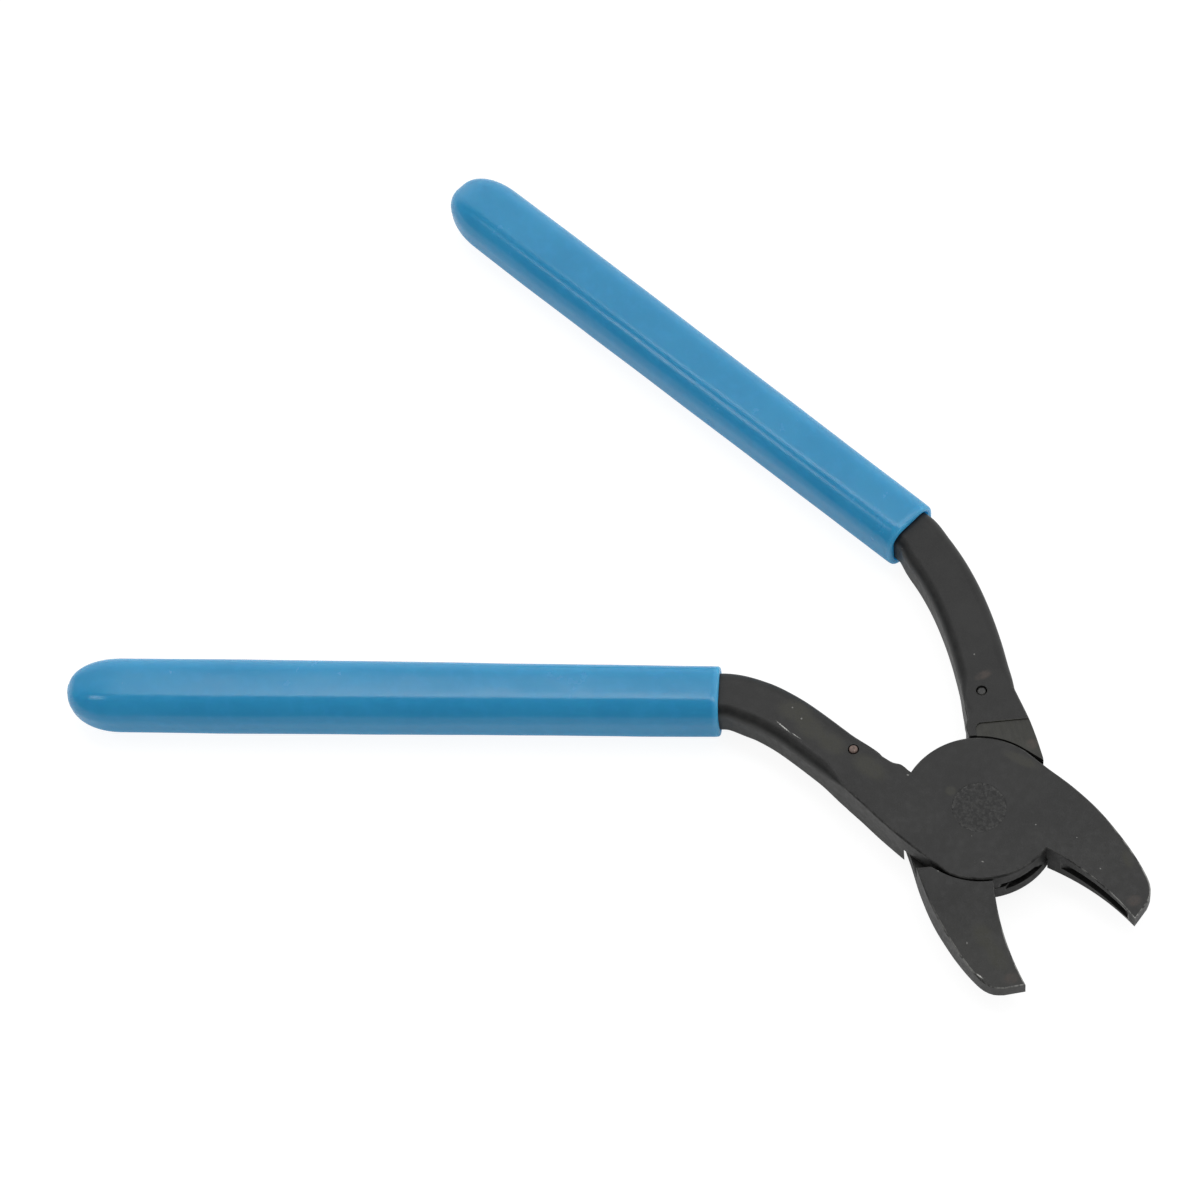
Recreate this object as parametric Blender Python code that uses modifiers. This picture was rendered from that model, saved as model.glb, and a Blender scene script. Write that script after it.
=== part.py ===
"""Angled-head lap-joint pliers with dipped vinyl grips.

Frame: metres, +Z up. The origin lies on the pivot axis at the underside of
the head, +X runs from the pivot along the front lever's gripping line, and
+Z points out of the front face. The rest pose is open by OPEN_DEG: the rear
lever hangs from an empty on the pivot axis and is turned about it.

Each lever is drawn in one lap frame, in millimetres, centred on the head's
thickness: jaws closed, gripping line along +X, jaw above the line (+Y),
handle below it, front half (+Z) of the lap disc solid and rear half milled
away. The rear lever is the same drawing turned half a turn about X, with its
own handle bend.
"""

import math
from typing import NamedTuple

import bmesh
import bpy
from mathutils import Matrix, Vector

MM = 0.001

# ------------------------------------------------- head, millimetres and degrees
HALF = 5.15               # half the head's thickness
OPEN_DEG = 40.0           # how far the jaws stand open at rest
DISC_R = 16.5             # lap disc
EDGE_R = 0.45             # broken edges of the head
CUT_REACH = 8.0           # cutters reach this far from mid thickness, clear of the faces

# Milled pocket that the other lever turns in
LAP_GAP = 0.25            # running gap between the two lap faces
POCKET_R = 16.85
POCKET_FROM_DEG = -1.0
STOP_DEG = 42.4           # opening at which the shoulder is parallel to the other gripping line
SHOULDER_LENGTH = 9.0     # flat shoulder, from where it leaves the pocket's arc
RELIEF_R = 19.4           # wider arc that clears the other shoulder corner
RELIEF_X = 10.8           # its wall, across the root of the jaw back
RELIEF_FROM_DEG = 48.5    # where that wall leaves the pocket
RELIEF_ARC_DEG = (62.0, 130.0)
RELIEF_STEP_DEG = 8.0
# (x from RELIEF_X, y) up the wall
RELIEF_WALL = [(0.12, 13.4), (0.05, 14.5), (-0.1, 15.3), (-0.45, 16.3)]
# (x, y) of the pocket's corners outside the lever, below and ahead of the disc
POCKET_OUTSIDE = [(0.0, -24.0), (17.0, -17.0), (24.0, -2.0)]

# Shallow step in the rear face, between the disc and the handle: (x, y)
PATCH_DEPTH = 0.5
PATCH = [(-18.9, -4.4), (-18.5, -3.8), (-17.9, -3.5), (-4.0, -3.5), (-4.0, -20.0), (-17.9, -20.0)]

# ------------------------------------------------------------------------ jaw
JAW_NOTCH_DEG = 3.2       # where the jaw's inner face leaves the disc
JAW_DIP = 1.25            # hollow of the inner face at its middle
# inner corner of the tip: the tips meet just before the jaws are parallel
JAW_TIP = (39.5, -0.15)
JAW_INNER_STEPS = 9
JAW_INNER_EDGE_R, JAW_BACK_EDGE_R = 0.35, 0.4
DISC_FROM_DEG = 91.0      # where the back of the jaw runs into the disc
JAW_BACK_STEP = 2.6
# back of the jaw, from the tip facet to the disc: (x, y)
JAW_BACK = [(39.35, 4.3), (38.8, 6.3), (37.4, 8.05), (35.1, 9.5), (31.7, 11.08),
            (27.2, 12.7), (20.1, 14.6), (12.5, 15.65), (6.0, 16.0), (2.0, 16.32)]
# the jaw thins towards its tip: (x, half thickness)
JAW_TAPER = [(10.0, HALF), (14.0, 5.04), (18.0, 4.75), (22.0, 4.3),
             (27.0, 3.62), (33.0, 2.75), (39.5, 1.86)]
GROOVE_WIDTH, GROOVE_R = 3.0, 15.2     # plunge-milled groove in the inner face
GROOVE_X, GROOVE_Y = 28.0, 3.75        # deepest point of the groove

# -------------------------------------------------------------- rivet and pins
RIVET_SHANK_R = 4.5
RIVET_HEAD_R = 5.65
RIVET_HEAD_THICK = 1.5
RIVET_RIM = 0.3           # straight rim of the rivet's head
COUNTERSINK_RIM = 0.35    # straight rim of the countersink
RIVET_FIT = 0.08          # running clearance
PIN_R, PIN_HOLE_R = 0.95, 1.2
PIN_CHAMFER = 0.2
PIN_FACE = 5.0            # half thickness of the handle where the pins sit
PIN_PROUD, PIN_SUNK = 0.25, 0.15

# ------------------------------------------------------------ handles and grips
HANDLE_HALF_WIDTH = 5.3   # at the grip's mouth
TANG_END_HALF_WIDTH = 4.3
HANDLE_HALF_THICK = 4.9
GRIP_TIP_HALF_THICK = 3.7  # the tang's taper carried on to the tip of the grip
BARE_EXTRA = 0.28         # the bare bend is a little wider than the tang
BARE_MOUTH_RAMP = (1.5, 8.0)    # distance from the mouth over which the extra grows
BARE_HEAD_RAMP = (20.0, 25.0)   # distance behind the pivot over which it grows
ROOT_EDGE_R = 0.7         # rounding of the handle's corners at the head
HANDLE_EDGE_R = 2.6       # and past the ramp
EDGE_RAMP = (25.0, 33.0)  # distance behind the pivot
TANG_FIRST_STATION = 6.0  # distance from the mouth
TANG_STEPS = 7
TANG_NOSE = 0.75          # length of the tang's rounded end over its half width
TANG_END = 9.0            # from the end of the tang to the tip of the grip

# upper edge from the disc to the handle, both levers: arc angles, then (x, y)
UPPER_ROOT_DEG = [180, 183.5, 186.3]
UPPER_ROOT = [(-17.5, -1.8), (-18.8, -1.68), (-19.8, -1.95), (-20.9, -2.35)]
# lower edge from the shoulder corner to the disc, both levers: (x, y)
LOWER_EDGE = [(-5.5, -15.6), (-2.0, -15.75), (1.5, -15.88)]
LOWER_EDGE_END = (4.3, -15.93)

GRIP_GAP = 0.3            # between tang and grip
GRIP_CAP = 12.0           # length of the grip's rounded end
GRIP_CAP_STEPS = 6
GRIP_CAP_POWER = 0.85     # below 1 makes the end blunter than an ellipse
GRIP_TIP = (1.2, 1.0, 0.9)      # half width, half thickness, corner radius
GRIP_MOUTH_INSET = 0.4    # chamfer around the mouth
GRIP_MOUTH_STATION = 0.5  # where that chamfer ends
GRIP_FIRST_STATION, GRIP_STEP = 8.0, 14.0
GRIP_CORNER_STEPS = 4
BORE_LEAD, BORE_LEAD_EXTRA = 4.0, 1.2   # bore cutter outside the mouth, and its extra half width
BORE_PAST_TANG = 3.6
BORE_CORNER_R, BORE_CORNER_STEPS = 2.5, 3

# ----------------------------------------------------------------- subdivision
ARC_STEP_DEG = 5.0
ROUND_STEPS = 2           # segments in a quarter of a rounded edge
PATH_STEP = 2.2
MIN_SPACING = 0.05        # closer outline points are dropped
RIVET_SEGMENTS, PIN_SEGMENTS = 48, 20
PIN_HOLE_SEGMENTS, GROOVE_SEGMENTS = 24, 72


# ------------------------------------------------------------ plane geometry
def polar(radius, degrees):
    angle = math.radians(degrees)
    return Vector((radius * math.cos(angle), radius * math.sin(angle)))


def lerp(start, end, t):
    return start + (end - start) * t


def spaced(start, end, step):
    """Even values from start to end, about a step apart."""
    count = max(1, round((end - start) / step))
    return [lerp(start, end, k / count) for k in range(count + 1)]


def arc(radius, start, end, step=ARC_STEP_DEG):
    return [polar(radius, angle) for angle in spaced(start, end, step)]


def interpolate(rows, x):
    """Linear interpolation in a list of (x, value) sorted by x."""
    if x <= rows[0][0]:
        return rows[0][1]
    for (x0, value0), (x1, value1) in zip(rows, rows[1:]):
        if x <= x1:
            return lerp(value0, value1, (x - x0) / (x1 - x0))
    return rows[-1][1]


def ease(x, ramp):
    """0 before the ramp, 1 past it, smooth between."""
    low, high = ramp
    t = min(1.0, max(0.0, (x - low) / (high - low)))
    return t * t * (3 - 2 * t)


def directions(points):
    """Unit direction at each point, taken between its neighbours."""
    last = len(points) - 1
    return [(points[min(last, i + 1)] - points[max(0, i - 1)]).normalized()
            for i in range(last + 1)]


def left_of(direction):
    return Vector((-direction.y, direction.x))


def smooth_line(rows, step):
    """Hermite curve through rows of (x, y) or (x, y, heading in degrees)."""
    points = [Vector(row[:2]) for row in rows]
    tangents = directions(points)
    for i, row in enumerate(rows):
        if len(row) == 3:
            tangents[i] = polar(1.0, row[2])
    line = []
    for i in range(len(points) - 1):
        chord = (points[i + 1] - points[i]).length
        count = max(2, round(chord / step))
        leaving, arriving = tangents[i] * chord, tangents[i + 1] * chord
        for k in range(count):
            t = k / count
            line.append(points[i] * (2 * t**3 - 3 * t**2 + 1)
                        + leaving * (t**3 - 2 * t**2 + t)
                        + points[i + 1] * (-2 * t**3 + 3 * t**2)
                        + arriving * (t**3 - t**2))
    line.append(points[-1])
    return line


# ------------------------------------------------------------ the two levers
class Grip(NamedTuple):
    mouth: tuple          # (x, y) of the mouth's centre
    heading: float        # of the axis, degrees
    length: float

    @property
    def axis(self):
        return polar(1.0, self.heading)

    @property
    def tang(self):
        return self.length - TANG_END

    def at(self, distance):
        """Point on the axis at a distance from the mouth."""
        return Vector(self.mouth) + self.axis * distance


class Lever(NamedTuple):
    name: str
    path: list            # bare handle's centre line: (x, y) or (x, y, heading)
    root: list            # lower edge from the handle to the shoulder corner: (x, y)
    grip: Grip
    pin: tuple            # (x, y)
    pin_top: float
    flip: Matrix          # from the lap frame to the lever's own frame


FRONT = Lever(
    name="front",
    path=[(-24.0, -7.8, 176.5), (-33.0, -7.15), (-42.0, -6.72, 178.5),
          (-47.5, -6.85), (-53.0, -7.7), (-60.36, -10.44, 216.0)],
    root=[(-20.2, -13.95), (-15.7, -14.65), (-12.0, -15.1), (-8.6, -15.45)],
    grip=Grip(mouth=(-61.1, -10.98), heading=216.0, length=146.0),
    pin=(-29.3, -4.9),
    pin_top=PIN_FACE + PIN_PROUD,
    flip=Matrix.Identity(4))

REAR = Lever(
    name="rear",
    path=[(-24.0, -8.2, 181.0), (-31.0, -8.6, 179.5), (-38.0, -8.58), (-45.0, -8.18),
          (-52.0, -7.3), (-58.5, -5.9), (-64.1, -4.15), (-69.9, -2.10, 145.1)],
    root=[(-25.4, -13.9), (-20.5, -14.75), (-17.1, -15.25), (-12.5, -15.6), (-8.5, -15.75)],
    grip=Grip(mouth=(-70.65, -1.57), heading=145.1, length=147.0),
    pin=(-26.8, -6.95),
    pin_top=PIN_FACE - PIN_SUNK,
    flip=Matrix.Rotation(math.pi, 4, "X"))


# ------------------------------------------------------------- scene helpers
class Place(NamedTuple):
    """Where an object goes: its collection, its parent, and its flip."""
    collection: bpy.types.Collection
    parent: bpy.types.Object
    flip: Matrix


def clear_scene():
    for obj in list(bpy.data.objects):
        bpy.data.objects.remove(obj, do_unlink=True)


def add_collection(name):
    collection = bpy.data.collections.new(name)
    bpy.context.scene.collection.children.link(collection)
    return collection


def add_object(name, mesh, place, mat=None):
    obj = bpy.data.objects.new(name, mesh)
    place.collection.objects.link(obj)
    obj.parent = place.parent
    if mat:
        mesh.materials.append(mat)
    return obj


def add_shape(name, bm, place, mat=None, scale=MM):
    """Scales and flips a bmesh into an object, and frees it."""
    bmesh.ops.scale(bm, verts=bm.verts, vec=(scale, scale, scale))
    bmesh.ops.transform(bm, verts=bm.verts, matrix=place.flip)
    bmesh.ops.recalc_face_normals(bm, faces=bm.faces)
    mesh = bpy.data.meshes.new(name)
    bm.to_mesh(mesh)
    bm.free()
    return add_object(name, mesh, place, mat)


def cut(obj, cutter):
    """Subtracts the cutter and hides it from renders."""
    cutter.hide_render = True
    cutter.display_type = "WIRE"
    boolean = obj.modifiers.new("cut_" + cutter.name, "BOOLEAN")
    boolean.operation = "DIFFERENCE"
    boolean.solver = "EXACT"
    boolean.object = cutter


def smooth(obj, degrees=32.0):
    obj.data.shade_smooth()
    obj.data.set_sharp_from_angle(angle=math.radians(degrees))


def prism(name, points, z0, z1, place):
    """A flat 2D curve, filled and extruded, then made a welded mesh."""
    curve = bpy.data.curves.new(name, "CURVE")
    curve.dimensions = "2D"
    curve.fill_mode = "BOTH"
    curve.extrude = (z1 - z0) / 2 * MM
    spline = curve.splines.new("POLY")
    spline.points.add(len(points) - 1)
    for spline_point, (x, y) in zip(spline.points, points):
        spline_point.co = (x * MM, y * MM, 0.0, 1.0)
    spline.use_cyclic_u = True
    curve_obj = bpy.data.objects.new(name + "_curve", curve)
    bpy.context.scene.collection.objects.link(curve_obj)
    bpy.context.view_layer.update()
    filled = bpy.data.meshes.new_from_object(
        curve_obj.evaluated_get(bpy.context.evaluated_depsgraph_get()))
    bpy.data.objects.remove(curve_obj, do_unlink=True)
    bpy.data.curves.remove(curve)

    bm = bmesh.new()
    bm.from_mesh(filled)
    bpy.data.meshes.remove(filled)
    bmesh.ops.remove_doubles(bm, verts=bm.verts, dist=1e-6)
    bmesh.ops.translate(bm, verts=bm.verts, vec=(0, 0, (z0 + z1) / 2 * MM))
    return add_shape(name, bm, place, scale=1.0)


def turned(name, profile, segments, place, mat=None):
    """A profile of (radius, z), top to bottom, spun about Z by a Screw."""
    mesh = bpy.data.meshes.new(name)
    mesh.from_pydata([(radius * MM, 0.0, z * MM) for radius, z in profile],
                     [(i, i + 1) for i in range(len(profile) - 1)], [])
    obj = add_object(name, mesh, place, mat)
    obj.matrix_basis = place.flip
    screw = obj.modifiers.new("turn", "SCREW")
    screw.axis = "Z"
    screw.steps = screw.render_steps = segments
    screw.use_merge_vertices = True
    screw.merge_threshold = 1e-5
    return obj


def drum(name, radius, depth, centre, segments, place):
    """A cylinder along Z about the (x, y) centre, at mid thickness."""
    bm = bmesh.new()
    bmesh.ops.create_cone(bm, cap_ends=True, segments=segments,
                          radius1=radius, radius2=radius, depth=depth)
    bmesh.ops.translate(bm, verts=bm.verts, vec=(*centre, 0.0))
    return add_shape(name, bm, place)


def loft(rings):
    """Closed bmesh through rings of points that all have the same count."""
    bm = bmesh.new()
    rings = [[bm.verts.new(point) for point in ring] for ring in rings]
    count = len(rings[0])
    for lower, upper in zip(rings, rings[1:]):
        for i in range(count):
            j = (i + 1) % count
            bm.faces.new((lower[i], lower[j], upper[j], upper[i]))
    bm.faces.new(list(reversed(rings[0])))
    bm.faces.new(rings[-1])
    return bm


# ----------------------------------------------------------------- lever body
def rounded_plate(outline, radii):
    """The head's thickness inside a counter-clockwise outline, whose rim is a
    band of quarter rounds with its own radius at every outline point. No
    primitive or modifier rounds a rim by a radius that changes along it."""
    inward = []
    for i, point in enumerate(outline):
        following = outline[(i + 1) % len(outline)]
        normal_in = left_of((point - outline[i - 1]).normalized())
        normal_out = left_of((following - point).normalized())
        mitre = normal_in + normal_out
        mitre = mitre / max(mitre.length, 1e-6)
        # the limit keeps sharp corners from reaching too far in
        inward.append(mitre / max(0.45, mitre.dot(normal_in)))
    rings = []
    for side in (-1, 1):
        for k in range(ROUND_STEPS + 1):
            turn = k / ROUND_STEPS
            angle = math.radians(90 * (1 - turn if side < 0 else turn))
            ring = []
            for point, mitre, radius in zip(outline, inward, radii):
                x, y = point + mitre * (radius * (1 - math.cos(angle)))
                ring.append((x, y, side * ((HALF - radius) + radius * math.sin(angle))))
            rings.append(ring)
    return loft(rings)


def thin_by_x(bm, rows):
    """Scales the thickness by a piecewise linear law of x, with an edge laid
    across the faces at every knee so that they stay flat between knees."""
    for x, _ in rows[1:-1]:
        bmesh.ops.bisect_plane(
            bm, geom=bm.verts[:] + bm.edges[:] + bm.faces[:], dist=1e-5,
            plane_co=(x, 0, 0), plane_no=(1, 0, 0))
    for vert in bm.verts:
        vert.co.z *= interpolate(rows, vert.co.x) / HALF


def thickness_rows(grip):
    """(x, half thickness) of one lever, from the grip's tip to the jaw's."""
    return [(grip.at(grip.length).x, GRIP_TIP_HALF_THICK), (grip.mouth[0], HANDLE_HALF_THICK),
            (-36.0, HANDLE_HALF_THICK), (-30.0, PIN_FACE), (-25.0, HALF)] + JAW_TAPER


def jaw_inner():
    """The inner face from the disc to the tip, hollowed by a parabola."""
    start, tip = polar(DISC_R, JAW_NOTCH_DEG), Vector(JAW_TIP)
    points = []
    for k in range(JAW_INNER_STEPS + 1):
        t = k / JAW_INNER_STEPS
        x, y = start.lerp(tip, t)
        points.append((x, y + JAW_DIP * 4 * t * (1 - t)))
    return points


def handle_outline(lever):
    """The handle's outline, from the upper edge round the tang's end to the lower."""
    grip = lever.grip
    axis = grip.axis
    stations = [0.0] + [lerp(TANG_FIRST_STATION, grip.tang, k / TANG_STEPS)
                        for k in range(TANG_STEPS + 1)]
    path = smooth_line(lever.path, PATH_STEP) + [grip.at(station) for station in stations]
    # the path runs away from the head, so its left side is the lower edge
    left = [left_of(direction) for direction in directions(path)]
    tang_length = (path[-1] - grip.at(0.0)).length

    def half_width(point):
        distance = (point - grip.at(0.0)).dot(axis)
        bare = BARE_EXTRA * ease(-distance, BARE_MOUTH_RAMP) * ease(-point.x, BARE_HEAD_RAMP)
        along = max(0.0, distance) / tang_length
        return lerp(HANDLE_HALF_WIDTH, TANG_END_HALF_WIDTH, along) + bare

    offsets = [(point, normal * half_width(point))
               for point, normal in zip(path[1:-1], left[1:-1])]
    end, across = path[-1], left[-1] * TANG_END_HALF_WIDTH
    nose = axis * (TANG_END_HALF_WIDTH * TANG_NOSE)
    tang_end = [end - across]
    for degrees in (30, 60, 90, 120, 150):
        angle = math.radians(degrees)
        tang_end.append(end + nose * math.sin(angle) - across * math.cos(angle))
    tang_end.append(end + across)
    upper = [point - offset for point, offset in offsets]
    lower = [point + offset for point, offset in reversed(offsets)]
    return upper + tang_end + lower


def lever_outline(lever):
    """(outline, edge radii), counter-clockwise, in the lap frame."""
    outline, radii = [], []

    def put(points, radius=EDGE_R):
        for point in map(Vector, points):
            if outline and (outline[-1] - point).length < MIN_SPACING:
                continue
            outline.append(point)
            radii.append(radius(point) if callable(radius) else radius)

    def handle_edge(point):
        return lerp(ROOT_EDGE_R, HANDLE_EDGE_R, ease(-point.x, EDGE_RAMP))

    put(jaw_inner(), JAW_INNER_EDGE_R)
    back = JAW_BACK + [tuple(polar(DISC_R, DISC_FROM_DEG))]
    put(smooth_line(back, JAW_BACK_STEP), JAW_BACK_EDGE_R)
    put(arc(DISC_R, DISC_FROM_DEG, 180.0)[1:-1])
    put([polar(DISC_R, angle) for angle in UPPER_ROOT_DEG])
    put(UPPER_ROOT)
    put(handle_outline(lever), handle_edge)
    put(lever.root)
    put(LOWER_EDGE)
    x, y = LOWER_EDGE_END
    first = math.degrees(math.atan2(y, x))
    count = int((JAW_NOTCH_DEG - first) / ARC_STEP_DEG)
    put([polar(DISC_R, lerp(first, JAW_NOTCH_DEG, k / count)) for k in range(count)])
    return outline, radii


def pocket_outline():
    """Plan of the milled lap pocket: room for the other lever's disc, the
    relief for its shoulder corner, and the flat shoulder."""
    stop = 180.0 + (90.0 - STOP_DEG)
    relief_from, relief_to = RELIEF_ARC_DEG
    points = arc(POCKET_R, POCKET_FROM_DEG, RELIEF_FROM_DEG)
    points += [(RELIEF_X + x, y) for x, y in RELIEF_WALL]
    points += arc(RELIEF_R, relief_from, relief_to, RELIEF_STEP_DEG)
    points += arc(POCKET_R, relief_to, stop)
    points.append(polar(POCKET_R, stop) + left_of(polar(1.0, stop)) * SHOULDER_LENGTH)
    return points + POCKET_OUTSIDE


def rivet_bore(name, place):
    """Cutter for the rivet's hole, countersunk in the solid face."""
    shank, head = RIVET_SHANK_R + RIVET_FIT, RIVET_HEAD_R + RIVET_FIT
    profile = [(0.0, CUT_REACH), (head, CUT_REACH), (head, HALF - COUNTERSINK_RIM),
               (shank, HALF - RIVET_HEAD_THICK - RIVET_FIT),
               (shank, -CUT_REACH), (0.0, -CUT_REACH)]
    return turned(name, profile, RIVET_SEGMENTS, place)


def build_lever(lever, parts, cutters, mat):
    name = lever.name + "_lever"
    bm = rounded_plate(*lever_outline(lever))
    thin_by_x(bm, thickness_rows(lever.grip))
    body = add_shape(name, bm, parts, mat)
    cut(body, prism(name + "_pocket", pocket_outline(), -CUT_REACH, LAP_GAP / 2, cutters))
    cut(body, prism(name + "_patch", PATCH, -CUT_REACH, -HALF + PATCH_DEPTH, cutters))
    cut(body, drum(name + "_groove", GROOVE_R, GROOVE_WIDTH, (GROOVE_X, GROOVE_Y - GROOVE_R),
                   GROOVE_SEGMENTS, cutters))
    cut(body, rivet_bore(name + "_bore", cutters))
    cut(body, drum(name + "_pin_hole", PIN_HOLE_R, 2 * CUT_REACH, lever.pin,
                   PIN_HOLE_SEGMENTS, cutters))
    smooth(body)


# ---------------------------------------------------------------------- grips
def rounded_section(grip, distance, half_width, half_thick, radius, steps):
    """A rounded rectangle across the grip's axis, at a distance from the mouth."""
    centre, side = grip.at(distance), left_of(grip.axis)
    points = []
    for across, up, start in ((1, 1, 0), (-1, 1, 90), (-1, -1, 180), (1, -1, 270)):
        for k in range(steps + 1):
            corner = polar(radius, start + 90 * k / steps)
            x, y = centre + side * (across * (half_width - radius) + corner.x)
            points.append((x, y, up * (half_thick - radius) + corner.y))
    return points


def grip_size(t):
    """(half width, half thickness, corner radius) from the mouth, 0, to the tip, 1."""
    return lerp(7.0, 7.95, min(1.0, t * 1.3)), lerp(6.65, 6.35, t), lerp(4.6, 5.2, t)


def grip_body(grip):
    cap_start = grip.length - GRIP_CAP
    stations = []             # (distance, (half width, half thickness, corner radius))
    for distance in ([0.0, GRIP_MOUTH_STATION]
                     + spaced(GRIP_FIRST_STATION, cap_start, GRIP_STEP)):
        inset = GRIP_MOUTH_INSET if distance == 0.0 else 0.0
        stations.append((distance, [size - inset for size in grip_size(distance / grip.length)]))
    for k in range(1, GRIP_CAP_STEPS):
        angle = math.radians(90 * k / GRIP_CAP_STEPS)
        shrink = math.cos(angle) ** GRIP_CAP_POWER
        stations.append((cap_start + GRIP_CAP * math.sin(angle),
                         [size * shrink for size in grip_size(1.0)]))
    stations.append((grip.length, GRIP_TIP))
    return loft([rounded_section(grip, distance, *size, GRIP_CORNER_STEPS)
                 for distance, size in stations])


def grip_bore(grip):
    """Room for the tang, from outside the mouth to past the tang's end. The
    cutter widens only outside the mouth."""
    sections = []
    for distance in (-BORE_LEAD, 0.0, grip.tang, grip.tang + BORE_PAST_TANG):
        inside = max(0.0, distance)
        half_width = lerp(HANDLE_HALF_WIDTH, TANG_END_HALF_WIDTH, inside / grip.tang) + GRIP_GAP
        half_thick = lerp(HANDLE_HALF_THICK, GRIP_TIP_HALF_THICK, inside / grip.length) + GRIP_GAP
        if distance < 0.0:
            half_width += BORE_LEAD_EXTRA
        sections.append(rounded_section(grip, distance, half_width, half_thick,
                                        BORE_CORNER_R, BORE_CORNER_STEPS))
    return loft(sections)


def build_grip(lever, parts, cutters, mat):
    name = lever.name + "_grip"
    sleeve = add_shape(name, grip_body(lever.grip), parts, mat)
    cut(sleeve, add_shape(name + "_bore", grip_bore(lever.grip), cutters))
    smooth(sleeve, 40.0)


# -------------------------------------------------------------- rivet and pins
def build_rivet(place, mat):
    """Fills both countersinks, flush with the two outer faces."""
    upper = [(0.0, HALF), (RIVET_HEAD_R, HALF), (RIVET_HEAD_R, HALF - RIVET_RIM),
             (RIVET_SHANK_R, HALF - RIVET_HEAD_THICK)]
    lower = [(radius, -z) for radius, z in reversed(upper)]
    smooth(turned("pivot_rivet", upper + lower, RIVET_SEGMENTS, place, mat))


def build_pin(lever, parts, mat):
    x, y = lever.pin
    top, bottom = lever.pin_top, -PIN_FACE + PIN_SUNK
    profile = [(0.0, top), (PIN_R - PIN_CHAMFER, top), (PIN_R, top - PIN_CHAMFER),
               (PIN_R, bottom + PIN_CHAMFER), (PIN_R - PIN_CHAMFER, bottom), (0.0, bottom)]
    place = parts._replace(flip=lever.flip @ Matrix.Translation((x * MM, y * MM, 0)))
    smooth(turned(lever.name + "_pin", profile, PIN_SEGMENTS, place, mat))


# ------------------------------------------------------------------ materials
def material(name, colour, roughness, metallic, coat=0.0):
    mat = bpy.data.materials.new(name)
    mat.use_nodes = True
    inputs = mat.node_tree.nodes["Principled BSDF"].inputs
    inputs["Base Color"].default_value = (*colour, 1.0)
    inputs["Roughness"].default_value = roughness
    inputs["Metallic"].default_value = metallic
    inputs["Coat Weight"].default_value = coat
    mat.diffuse_color = (*colour, 1.0)
    return mat


def black_oxide_steel():
    return material("black_oxide_steel", colour=(0.040, 0.040, 0.039),
                    roughness=0.42, metallic=0.75)


def rivet_steel():
    return material("rivet_steel", colour=(0.034, 0.034, 0.034), roughness=0.55, metallic=0.75)


def pin_steel():
    return material("pin_steel", colour=(0.060, 0.045, 0.036), roughness=0.5, metallic=0.7)


def blue_vinyl():
    return material("blue_vinyl", colour=(0.070, 0.275, 0.500),
                    roughness=0.28, metallic=0.0, coat=0.3)


# ---------------------------------------------------------------------- build
def main():
    clear_scene()
    parts = add_collection("angled_lap_joint_pliers")
    cutters = add_collection("cutters")
    steel, rivet_mat, pin_mat, vinyl = (
        black_oxide_steel(), rivet_steel(), pin_steel(), blue_vinyl())

    pivot = bpy.data.objects.new("pivot_axis", None)
    parts.objects.link(pivot)
    pivot.location = (0, 0, HALF * MM)
    rear_axis = bpy.data.objects.new("rear_lever_axis", None)
    parts.objects.link(rear_axis)
    rear_axis.parent = pivot
    rear_axis.rotation_euler = (0, 0, math.radians(-OPEN_DEG))

    for lever, parent in ((FRONT, pivot), (REAR, rear_axis)):
        in_parts = Place(parts, parent, lever.flip)
        in_cutters = Place(cutters, parent, lever.flip)
        build_lever(lever, in_parts, in_cutters, steel)
        build_grip(lever, in_parts, in_cutters, vinyl)
        build_pin(lever, in_parts, pin_mat)
    build_rivet(Place(parts, pivot, Matrix.Identity(4)), rivet_mat)


main()
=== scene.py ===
"""Angled-head lap-joint pliers, lying open on a pale floor.

The rivet's axis is +Z through the origin and the head's underside is at z = 0.
The front lever is the upper one at the lap: its jaw points to +X, its handle to
-X. The rear lever is the same kind of half, turned over about X and then swung
by OPEN_DEG about Z. Both are drawn in mm in the "lap frame": pivot at the
origin, mid-thickness at z = 0, jaw to +x, handle to -x. Each keeps its +z half
of the disc at the lap.
"""

import math
from collections import namedtuple

import bmesh
import bpy
from mathutils import Matrix, Vector, noise


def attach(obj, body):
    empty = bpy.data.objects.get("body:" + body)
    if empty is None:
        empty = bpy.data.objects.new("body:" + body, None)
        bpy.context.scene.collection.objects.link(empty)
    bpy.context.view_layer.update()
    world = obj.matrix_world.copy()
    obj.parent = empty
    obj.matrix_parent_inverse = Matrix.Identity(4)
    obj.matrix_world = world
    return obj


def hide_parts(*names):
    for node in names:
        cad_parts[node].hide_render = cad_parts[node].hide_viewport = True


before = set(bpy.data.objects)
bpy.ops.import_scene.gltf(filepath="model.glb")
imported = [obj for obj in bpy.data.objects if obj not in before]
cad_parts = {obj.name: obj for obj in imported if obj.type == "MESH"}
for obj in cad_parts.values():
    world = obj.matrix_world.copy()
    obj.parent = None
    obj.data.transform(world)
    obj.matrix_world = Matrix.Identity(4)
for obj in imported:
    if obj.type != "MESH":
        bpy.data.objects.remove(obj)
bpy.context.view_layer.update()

MM = 0.001

# ------------------------------------------------------------ dimensions, mm
HALF = 5.15                     # half the head's thickness
OPEN_DEG = 40.0
EDGE_R = 0.5

# lap joint
DISC_R = 16.5
DISC_FROM_DEG = 91.0
DISC_LAST = (4.3, -15.93)       # where the disc's edge starts again below the pivot
POCKET_R = DISC_R + 0.35
STOP_DEG = OPEN_DEG + 2.4
LAP_GAP = 0.25
RELIEF_R = 19.4
RELIEF_FROM_DEG = 48.5
RELIEF_TO_DEG = 130.0
RELIEF_X = 10.8
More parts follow.
